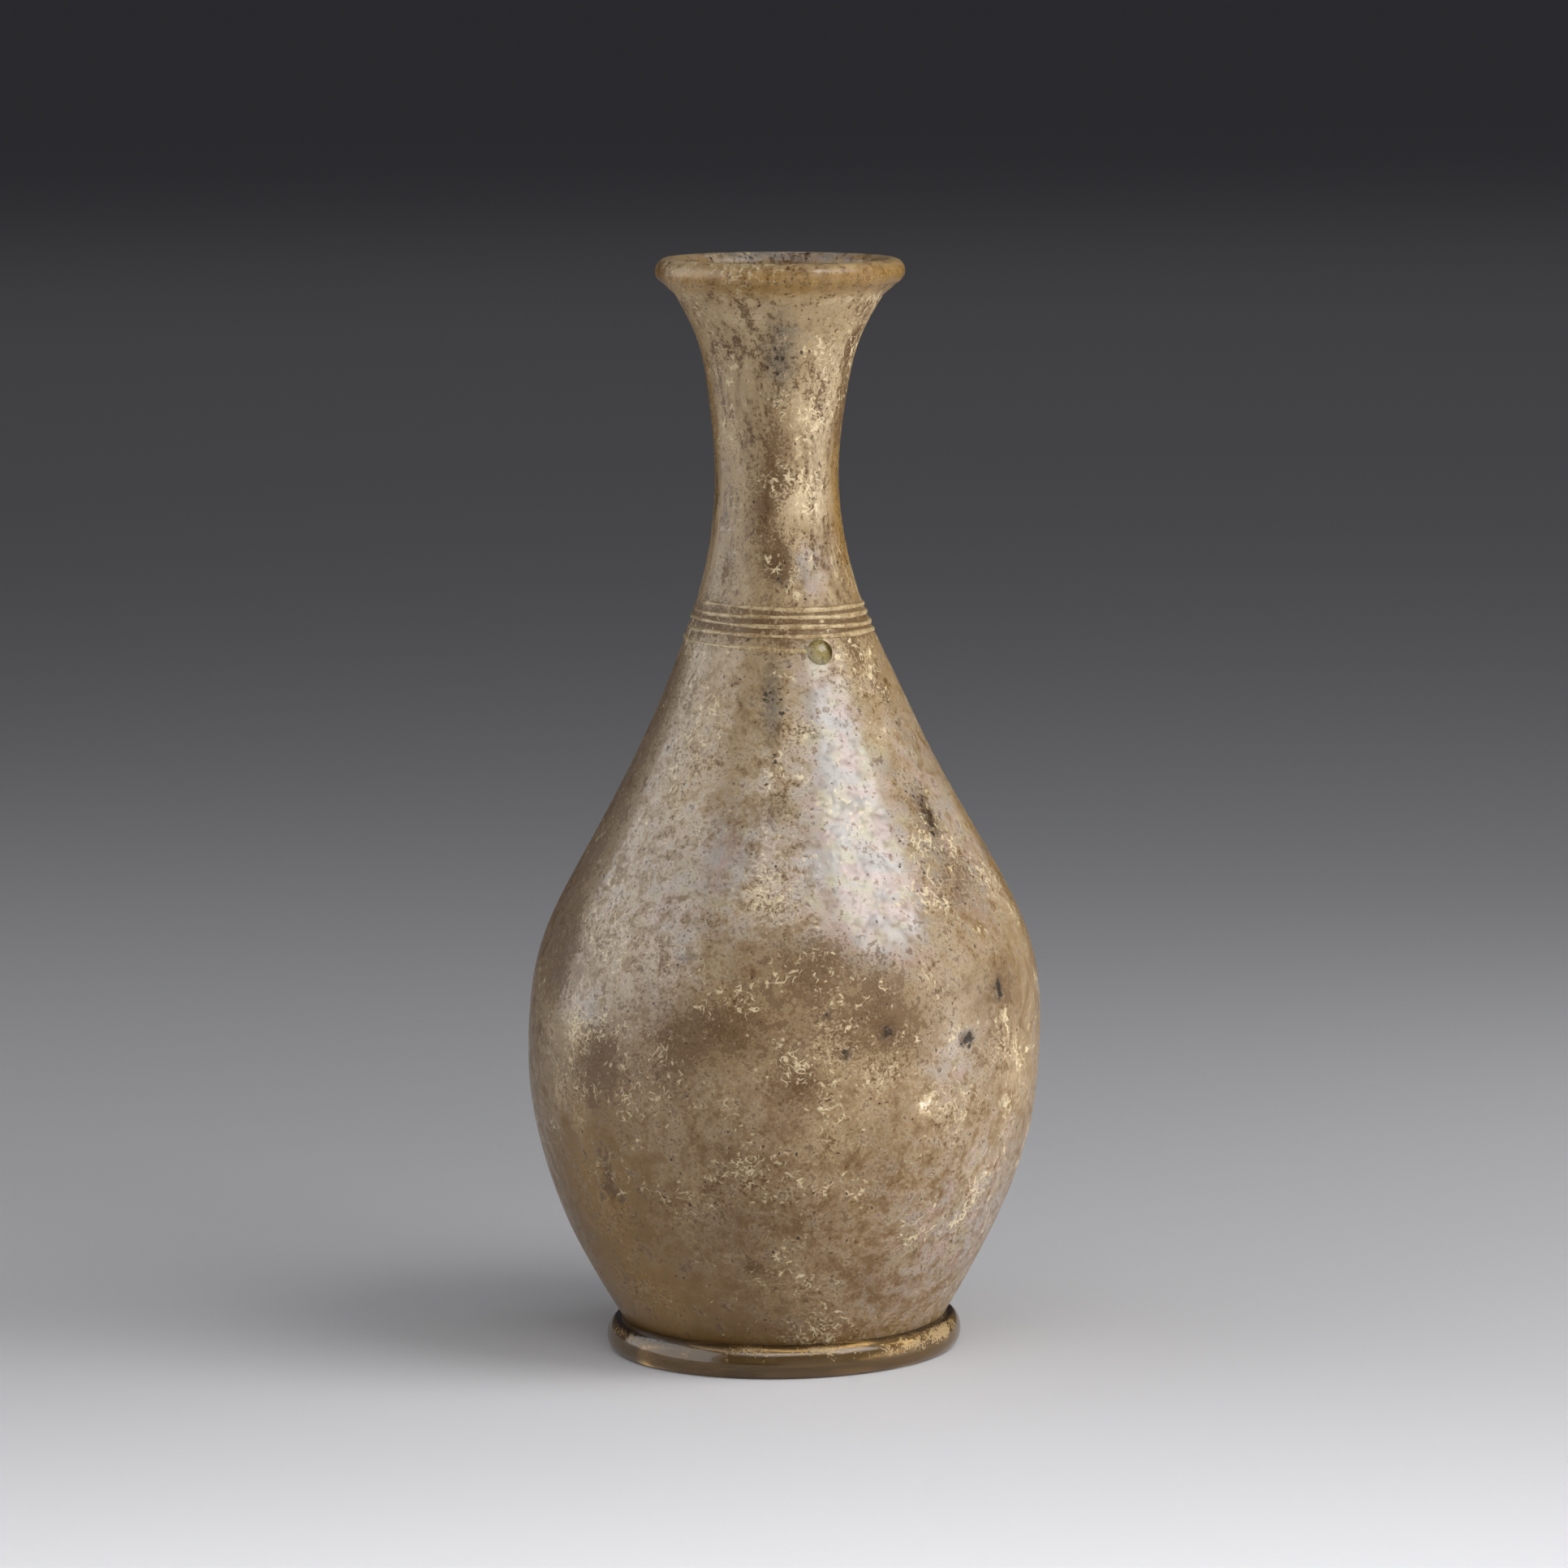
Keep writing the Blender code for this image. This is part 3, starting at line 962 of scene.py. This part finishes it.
# Each kind's patches run from the rim down, and at each part those in front come first
VESSEL_PATCHES = patches_from({
    STAIN_AND_PAINTED_SHADE: (
        (66, 212, 6, 12, 1.3), (76, 200, 5, 18), (-14, 178, 8, 16, 0.8), (-2, 190, 6, 24, 0.8),
        (0, 167, 7, 10, 1.1), (-45, 166, 6, 10, 0.5), (60, 163, 5, 12, 0.5),
        # (0, 155) darkens the band round the neck between the trail's turns
        (150, 190, 10, 30, 0.6), (0, 155, ALL_ROUND, 8, 0.9), (48, 149, 4, 8, 0.9),
        # (-78, 138) and (-80, 112) are painted shade down the left side
        (62, 143, 6, 14, 0.7), (-78, 138, 8, 26, 0.7), (-80, 112, 24, 64), (-3, 119, 6, 7, 0.7),
        (53, 115, 7, 12, 0.6), (54, 104, 14, 14, 0.55), (125, 104, 22, 24, 0.7),
        (225, 112, 16, 26, 0.7), (-66, 86, 16, 20, 1.3), (-46, 66, 18, 20, 1.1),
        (-12, 76, 32, 15, 0.85), (-24, 70, 12, 16, 0.8), (6, 88, 26, 14, 0.85),
        (22, 78, 24, 20, 0.95), (3, 65, 12, 9, 0.9), (58, 81, 12, 14, 0.8), (-8, 25, 5, 3.5, 1.2),
        (-45, 42, 4, 10, 0.8), (160, 72, 34, 30, 0.8), (250, 40, 20, 22, 0.7),
    ),
    CRUST_AND_PAINTED_HIGHLIGHT: (
        (0, 231, ALL_ROUND, 3), (0, 222.4, ALL_ROUND, 2, 0.9), (-30, 219, 26, 4, 0.7),
        (-52, 228, 14, 5, 1.1), (-20, 227.5, 12, 3, 0.6), (50, 207, 8, 20, 0.5),
        (25, 210, 10, 16, 0.3), (28, 186, 11, 40, 0.65), (8, 178, 10, 12, 0.6),
        (200, 175, 14, 24, 0.7), (4, 137, 10, 18, 0.5), (-40, 140, 14, 14, 0.3),
        (-34, 120, 22, 22, 0.4), (74, 108, 12, 30, 0.5), (-8, 102, 18, 16, 0.45),
        (150, 98, 24, 20, 0.7), (-53, 73, 12, 16), (-52, 54, 6, 16, 1.1), (-60, 58, 5, 8, 0.9),
        (12, 72, 26, 22, 0.55), (33, 59, 5, 6, 1.5), (28, 63, 24, 16, 0.4), (76, 88, 12, 40, 0.3),
        (52, 43, 16, 14, 0.6), (62, 62, 12, 24, 0.4), (4, 22, 24, 12, 0.25), (130, 66, 24, 26, 0.9),
        (215, 84, 22, 26, 0.9), (190, 28, 26, 16, 0.7),
    ),
    BARE: (
        (0, 226.2, ALL_ROUND, 5.4), (80, 227, 30, 6, 0.6), (78, 182, 8, 50, 1.2), (-78, 200, 8, 50),
        (84, 104, 10, 30, 0.7), (-86, 112, 14, 70, 0.5), (-50, 38, 30, 34), (-46, 15, 44, 20, 0.8),
        (140, 34, 30, 24, 0.5),
    ),
    # Among the sheen patches, those 104 to 167 mm high at 20 to 28 degrees right are a painted
    # highlight, and those at -17 and -30 painted reflections on the left of the belly; the rest are
    # iridescence
    SHEEN: (
        (180, 229.4, 40, 4, 1.2), (28, 167, 8, 13), (0, 116, ALL_ROUND, 64, 0.35),
        (20, 138, 13, 30, 0.9), (22, 120, 18, 34), (20, 104, 26, 24), (-17, 109, 10, 15, 0.6),
        (-30, 96, 34, 36, 0.45), (170, 118, 26, 44), (-50, 77, 9, 9), (40, 68, 20, 18, 0.6),
        (26, 90, 30, 18, 0.5), (55, 32, 60, 56, 0.75), (62, 112, 26, 60, 0.4),
        (235, 62, 26, 30, 0.7),
    ),
    SOIL_AND_PAINTED_SHADE: (
        (180, 229.4, 40, 4, 0.6), (2, 211, 9, 22), (1, 166, 5, 9), (240, 205, 8, 20, 0.6),
        (-5, 140, 6, 24, 0.9), (53, 116, 5, 9), (48, 108, 24, 34, 0.4), (23, 75, 4, 3.5, 2.4),
        (44, 72, 3.5, 3.5, 2.4), (56, 81, 3, 5, 2.4), (13, 71, 2.5, 2.5, 2.2), (9, 79, 4, 2, 1.2),
        (-24, 90, 4, 2, 1.3), (-5, 34, 50, 30, 0.25), (190, 60, 30, 30, 0.7),
    ),
})

COIL_PATCHES = patches_from({
    CRUST_AND_PAINTED_HIGHLIGHT: (
        (0, 5.2, ALL_ROUND, 4, 0.12), (12, 6.2, 8, 2.0, 0.6), (-12, 6.4, 8, 2.0, 0.7),
        (68, 5.6, 14, 4, 0.6), (50, 4.4, 16, 4, 0.42), (-62, 5.6, 30, 3.5, 0.32),
        (30, 5.0, 24, 4, 0.1), (150, 5.0, 20, 5, 0.7), (230, 4.0, 16, 4, 0.5),
    ),
    SOIL_AND_PAINTED_SHADE: (
        # Painted shade: a dark ring where the coil meets the vessel, and a darker patch on the
        # coil's left
        (0, 7.0, ALL_ROUND, 2.0, 1.2), (-50, 4.4, 30, 6, 0.75),
    ),
})


@dataclass
class Vessel:
    """The blown body, neck and rim, one wall of glass."""

    form: BlownForm
    patches: tuple[Patch, ...] = VESSEL_PATCHES
    spacing: float = 1.5 * MM
    scar_spacing: float = 0.75 * MM
    steps_around: int = 160
    rim_steps: int = 22
    swell: float = 0.12 * MM
    swell_rise: float = 10 * MM
    full_radius: float = 20 * MM
    waves: tuple[Wave, ...] = (
        (1.0, 2, 0.35, 1.1), (0.6, 3, -0.8, 0.0), (0.5, 5, 1.3, 2.0), (0.4, 1, 1.9, 0.0),
    )

    def profile(self) -> list[Point]:
        """Trace the wall's section, from the inside of the base over the rim to the underside.

        Returns:
            The (radius, height) points.
        """
        form = self.form
        wall_at = form.wall_curve()
        outside = form.outside(self.spacing)
        inside = moved_outline(outside + form.underside(self.spacing, 0),
                               lambda height: -wall_at(max(height, form.foot_height)))
        under = form.underside(self.scar_spacing, form.scar_depth)
        return inside[::-1] + form.rim(self.rim_steps)[::-1] + outside + under

    def uneven(self, points: np.ndarray) -> np.ndarray:
        """Give the vessel the slight swells and hollows that blowing leaves.

        Args:
            points: an array of x, y, z rows.

        Returns:
            The moved points.
        """
        angle = np.arctan2(points[:, 1], points[:, 0])
        radius = np.hypot(points[:, 0], points[:, 1])
        swell = self.swell * add_waves(self.waves, angle, points[:, 2] / self.swell_rise)
        swell *= np.clip(radius / self.full_radius, 0, 1)
        moved = points.copy()
        moved[:, :2] *= (1 + swell / np.maximum(radius, MM))[:, None]
        return moved

    def build(self, finish: FilmedGlass) -> None:
        """Blow the vessel and dress it.

        Args:
            finish: the glass that it is made of.
        """
        piece = lathe("blown_vessel", self.profile(), self.steps_around)
        points = read_points(piece)
        lay_patches(piece, points, self.patches)
        write_points(piece, self.form.on_axis(self.uneven(points)))
        finish_piece(piece, "vessel", finish.build())

    def space(self, gap: float) -> bpy.types.Object:
        """Return the solid inside the vessel's outside, which cuts what is seated against it.

        Args:
            gap: how far it stands outside the vessel.

        Returns:
            The cutter.
        """
        form = self.form
        outline = form.outside(self.spacing) + form.underside(self.spacing, 0)
        outside = moved_outline(outline, lambda height: gap)
        piece = lathe("vessel_space", [(0, form.neck_top)] + outside, self.steps_around)
        write_points(piece, form.on_axis(self.uneven(read_points(piece))))
        return piece


@dataclass
class CoilFoot:
    """The coil of glass laid on as the foot."""

    form: BlownForm
    bar_width: float = 6.2 * MM
    widest_height: float = 2.7 * MM
    contact_width: float = 2.2 * MM
    sit: float = 0.3 * MM
    gap: float = 0.03 * MM
    steps_around: int = 192
    section_steps: int = 12
    swell: float = 0.22 * MM
    lift_share: float = 0.5
    waves: tuple[Wave, ...] = ((1.0, 2, 0, 0.6), (0.6, 5, 0, 2.0), (0.4, 9, 0, 0.0))
    patches: tuple[Patch, ...] = COIL_PATCHES

    def side(self) -> list[Point]:
        """Trace the side of the section, from its crest to the ground.

        Returns:
            The (reach, height) points.
        """
        half = self.bar_width / 2
        flat = self.contact_width / 2
        crest = self.form.foot_height - self.widest_height
        upper, lower = [], []
        for step in range(self.section_steps + 1):
            turn = math.pi / 2 * step / self.section_steps
            out, up = math.sin(turn), math.cos(turn)
            upper.append((half * out, self.widest_height + crest * up))
            lower.append((flat + (half - flat) * up, self.widest_height * (1 - out)))
        return upper[:-1] + lower

    def build(self, finish: CoilGlass, vessel: Vessel) -> None:
        """Lay the coil, seat it against the vessel and dress it.

        Args:
            finish: the glass that it is made of.
            vessel: what it is fused to.
        """
        middle = self.form.seat_radius + self.sit
        side = self.side()
        section = [(middle + reach, height) for reach, height in side]
        section += [(middle - reach, height) for reach, height in side[:0:-1]]
        piece = lathe("coil_foot", section + section[:1], self.steps_around)
        points = read_points(piece)
        angle = np.arctan2(points[:, 1], points[:, 0])
        swell = self.swell * add_waves(self.waves, angle)
        rise = np.clip(points[:, 2] / self.form.foot_height, 0, 1)
        points[:, :2] *= (1 + swell * rise / middle)[:, None]
        points[:, 2] *= 1 + self.lift_share * swell / self.form.foot_height
        write_points(piece, points)
        apply_boolean(piece, vessel.space(self.gap), "DIFFERENCE")
        lay_patches(piece, read_points(piece), self.patches)
        finish_piece(piece, "foot_ring", finish.build())


@dataclass
class NeckTrail:
    """The thin trail wound round the base of the neck, and the drop that it starts from."""

    form: BlownForm
    thickness: float = 1.15 * MM
    stands_out: float = 0.34 * MM
    below_waist: float = 34.4 * MM
    start_angle: float = math.radians(-67)
    turns: float = 4.25
    pitch: float = 1.8 * MM
    first_pitch: float = 3.3 * MM
    settling: float = 3.0
    drop_width: float = 5.5 * MM
    drop_stands_out: float = 1.3 * MM
    drop_edge: float = 1.2
    drop_blend: float = 0.2
    # Where the drop's painted highlight and painted shade lie: weights rightwards and upwards,
    # where each starts, how fast it rises and its most
    painted_highlight_side: tuple[float, ...] = (-0.7, -0.7, 0.2, 0.4, 1.0)
    painted_shade_side: tuple[float, ...] = (1.0, 0.3, 0.4, 0.3, 0.9)
    drop_segments: int = 48
    drop_rings: int = 28
    steps_per_turn: int = 72
    section_resolution: int = 3
    slope_step: float = 0.01 * MM
    drop_reach: float = 10 * MM
    height_waves: tuple[Wave, ...] = ((0.12 * MM, 9.1, 0, 0), (0.08 * MM, 23, 0, 0))
    depth_waves: tuple[Wave, ...] = ((0.08 * MM, 13, 0, 1),)
    thickness_waves: tuple[Wave, ...] = ((0.16, 0.31, 0, 0), (0.12, 0.87, 0, 1))

    @property
    def start_height(self) -> float:
        """Height of the drop that the trail starts from."""
        return self.form.waist_height - self.below_waist

    def at(self, angle: float, height: float, stand_off: float) -> Vector:
        """Find a point that stands off the vessel's outside.

        Args:
            angle: where it is round the vessel.
            height: how high its foot is on the outside.
            stand_off: how far it stands off, negative for inside the glass.

        Returns:
            The point.
        """
        radius_at = self.form.radius_curve()
        slope = (radius_at(height + self.slope_step) - radius_at(height)) / self.slope_step
        outwards = Vector((1, -slope)).normalized()
        radius = radius_at(height) + stand_off * outwards.x
        top = height + stand_off * outwards.y
        upright = (radius * math.cos(angle), radius * math.sin(angle), top)
        return Vector(self.form.on_axis(np.array([upright]))[0])

    def path(self) -> list[Vector]:
        """Trace the trail's middle line, climbing clockwise as seen from above.

        Returns:
            The line's points.
        """
        points = []
        for step in range(round(self.turns * self.steps_per_turn) + 1):
            turn = step / self.steps_per_turn
            settled = 1 - math.exp(-self.settling * turn)
            climb = self.pitch * turn + (self.first_pitch - self.pitch) * settled
            height = self.start_height + climb + add_waves(self.height_waves, turn)
            depth = self.stands_out - self.thickness / 2 + add_waves(self.depth_waves, turn)
            points.append(self.at(self.start_angle - turn * math.tau, height, depth))
        return points

    def wind(self) -> bpy.types.Object:
        """Draw the trail's line by extruding a point along it, and give it its thickness.

        Returns:
            The trail's tube.
        """
        path = self.path()
        start_point("neck_trail", path[0])
        for here, there in zip(path, path[1:]):
            bpy.ops.mesh.extrude_region_move(TRANSFORM_OT_translate={"value": there - here})
        bpy.ops.object.mode_set(mode="OBJECT")
        bpy.ops.object.convert(target="CURVE")
        curve = bpy.context.object.data
        curve.bevel_depth = self.thickness / 2
        curve.bevel_resolution = self.section_resolution
        curve.use_fill_caps = True
        for i, point in enumerate(curve.splines[0].points):
            point.radius = 1 + add_waves(self.thickness_waves, i)
        bpy.ops.object.convert(target="MESH")
        bpy.ops.object.mode_set(mode="EDIT")
        close_up()
        return bpy.context.object

    def drop(self) -> bpy.types.Object:
        """Set the drop on the vessel, flattened where it was pressed on.

        Returns:
            The drop.
        """
        seat = self.at(self.start_angle, self.start_height, 0)
        outwards = self.at(self.start_angle, self.start_height, self.drop_reach) - seat
        bpy.ops.object.select_all(action="DESELECT")
        bpy.ops.mesh.primitive_uv_sphere_add(
            segments=self.drop_segments, ring_count=self.drop_rings, radius=self.drop_width / 2)
        piece = bpy.context.object
        piece.name = "drop"
        turn = outwards.normalized().to_track_quat("Z", "Y").to_matrix().to_4x4()
        flat = Matrix.Diagonal((1, 1, 2 * self.drop_stands_out / self.drop_width, 1))
        piece.matrix_world = Matrix.Translation(seat) @ turn @ flat
        bpy.ops.object.transform_apply(location=True, rotation=True, scale=True)
        return piece

    def paint_drop_highlight_and_shade(self, piece: bpy.types.Object) -> None:
        """Mark the drop as clear glass, with a painted highlight on its lower left and painted
        shade on its right.

        Args:
            piece: the trail with its drop.
        """
        offset = read_points(piece) - np.array(self.at(self.start_angle, self.start_height, 0))
        offset /= self.drop_width / 2
        rightwards = (-math.sin(self.start_angle), math.cos(self.start_angle), 0)
        right, up = offset @ np.array(rightwards), offset[:, 2]
        on_drop = (self.drop_edge - np.linalg.norm(offset, axis=1)) / self.drop_blend
        on_drop = np.clip(on_drop, 0, 1)
        write_layer(piece, BARE, on_drop)
        # Painted highlight on the lower left, painted shade on the right
        for kind, (across, along, start, blend, most) in (
                (CRUST_AND_PAINTED_HIGHLIGHT, self.painted_highlight_side), (SOIL_AND_PAINTED_SHADE, self.painted_shade_side)):
            part = (across * right + along * up - start) / blend
            write_layer(piece, kind, on_drop * np.clip(part, 0, most))

    def build(self, finish: TrailGlass) -> None:
        """Wind the trail from its drop and dress it.

        Args:
            finish: the glass that it is made of.
        """
        piece = self.wind()
        apply_boolean(piece, self.drop(), "UNION")
        self.paint_drop_highlight_and_shade(piece)
        finish_piece(piece, "neck_thread", finish.build())


class Shows(Enum):
    """Where a light shows: a white card only in reflections, a fill only in shading."""

    BOTH = "both"
    REFLECTION = "reflection"
    SHADING = "shading"


@dataclass(frozen=True)
class SoftLight:
    """A rectangular soft light: where it hangs, what it faces, its size in metres, how bright its
    face is, how many degrees wide it throws its light, and where it shows.
    """

    name: str
    place: tuple[float, float, float]
    aim: tuple[float, float, float]
    wide: float
    tall: float
    radiance: float
    spread: float = 180
    mode: Shows = Shows.BOTH

    def hang(self) -> None:
        """Hang the light, out of the camera's sight."""
        data = bpy.data.lights.new(self.name, "AREA")
        data.shape = "RECTANGLE"
        data.size = self.wide
        data.size_y = self.tall
        data.energy = self.radiance * math.pi * self.wide * self.tall
        data.spread = math.radians(self.spread)
        back = (Vector(self.place) - Vector(self.aim)).normalized()
        side = Vector((0, 0, 1)).cross(back).normalized()
        lamp = bpy.data.objects.new(self.name, data)
        bpy.context.scene.collection.objects.link(lamp)
        turn = Matrix((side, back.cross(side), back)).transposed().to_4x4()
        lamp.matrix_world = Matrix.Translation(self.place) @ turn
        lamp.visible_camera = False
        lamp.visible_diffuse = self.mode is not Shows.REFLECTION
        lamp.visible_glossy = self.mode is not Shows.SHADING


@dataclass(frozen=True)
class BackdropPaper:
    """Backdrop paper, uncoated. The eye sees an even, matt, pale grey."""

    name: str = "pale_paper"
    paper: str = "c8c8cb"
    roughness: float = 0.7

    def build(self) -> bpy.types.Material:
        """Make the material.

        Returns:
            The material.
        """
        material, _ = start_material(self.name)
        link_looks(material, {"Base Color": linear(self.paper), "Roughness": self.roughness})
        return material


@dataclass
class Studio:
    """A pale floor, soft lights and the camera of the photograph."""

    form: BlownForm
    camera_distance: float = 1.4111
    camera_height: float = 0.3061
    camera_down: float = 0.1314
    lens: float = 155.57
    sensor_width: float = 36
    sight: float = 100
    floor_size: float = 60
    air: str = "6a6a70"
    air_strength: float = 0.25
    lights: tuple[SoftLight, ...] = (
        SoftLight("key", (0.60, -0.36, 0.80), (0.0, 0.0, 0.11), 0.6, 0.5, 5.9),
        SoftLight("right_panel", (0.78, -0.1, 0.10), (0.0, 0.0, 0.02), 0.8, 0.2, 2.8,
                  spread=60, mode=Shows.SHADING),
        SoftLight("left_panel", (-0.9, -0.24, 0.53), (0.0, -0.24, 0.53), 1.6, 1.04, 1.0),
        SoftLight("fill", (0.5, -1.4, 0.35), (0.0, 0.0, 0.09), 1.2, 0.6, 3.3, mode=Shows.SHADING),
        SoftLight("left_card", (-0.89, -0.12, 0.53), (0.0, -0.12, 0.53), 1.36, 1.04, 1.65,
                  mode=Shows.REFLECTION),
        SoftLight("far_floor", (0.0, 3.2, 2.4), (0.0, 3.0, 0.0), 5.0, 2.5, 0.065, spread=120),
        SoftLight("overhead_card", (-0.38, -0.42, 0.98), (0.0, 0.0, 0.11), 0.9, 0.4, 1.0,
                  mode=Shows.REFLECTION),
        SoftLight("foreground", (-0.16, -0.42, 0.46), (-0.16, -0.32, 0.0), 0.9, 0.2, 2.0,
                  spread=80),
    )

    def camera(self) -> None:
        """Set the camera square to the vessel's own axis, which leans on the foot."""
        data = bpy.data.cameras.new("camera")
        data.lens = self.lens
        data.sensor_width = self.sensor_width
        data.clip_end = self.sight
        camera = bpy.data.objects.new("camera", data)
        bpy.context.scene.collection.objects.link(camera)
        level = Matrix.Translation((0, -self.camera_distance, self.camera_height))
        tilt = Matrix.Rotation(math.pi / 2 - self.camera_down, 4, "X")
        camera.matrix_world = Matrix.Rotation(self.form.lean, 4, "Y") @ level @ tilt
        bpy.context.scene.camera = camera

    def floor(self) -> None:
        """Lay a large plain floor."""
        bpy.ops.object.select_all(action="DESELECT")
        bpy.ops.mesh.primitive_plane_add(size=self.floor_size, location=(0, 0, 0))
        floor = bpy.context.object
        floor.name = "floor"
        floor.data.materials.append(BackdropPaper().build())

    def build(self) -> None:
        """Set up the floor, the lights, the world and the camera."""
        self.floor()
        for light in self.lights:
            light.hang()
        world = bpy.data.worlds.new("studio")
        world.use_nodes = True
        background = world.node_tree.nodes["Background"].inputs
        background["Color"].default_value = linear(self.air)
        background["Strength"].default_value = self.air_strength
        bpy.context.scene.world = world
        bpy.context.scene.view_settings.view_transform = "Standard"
        self.camera()


def main() -> None:
    """Build the bottle and the studio, and report each piece."""
    form = BlownForm()
    vessel = Vessel(form)
    vessel.build(FilmedGlass())
    CoilFoot(form).build(CoilGlass(), vessel)
    NeckTrail(form).build(TrailGlass())
    Studio(form).build()


if __name__ == "__main__":
    main()
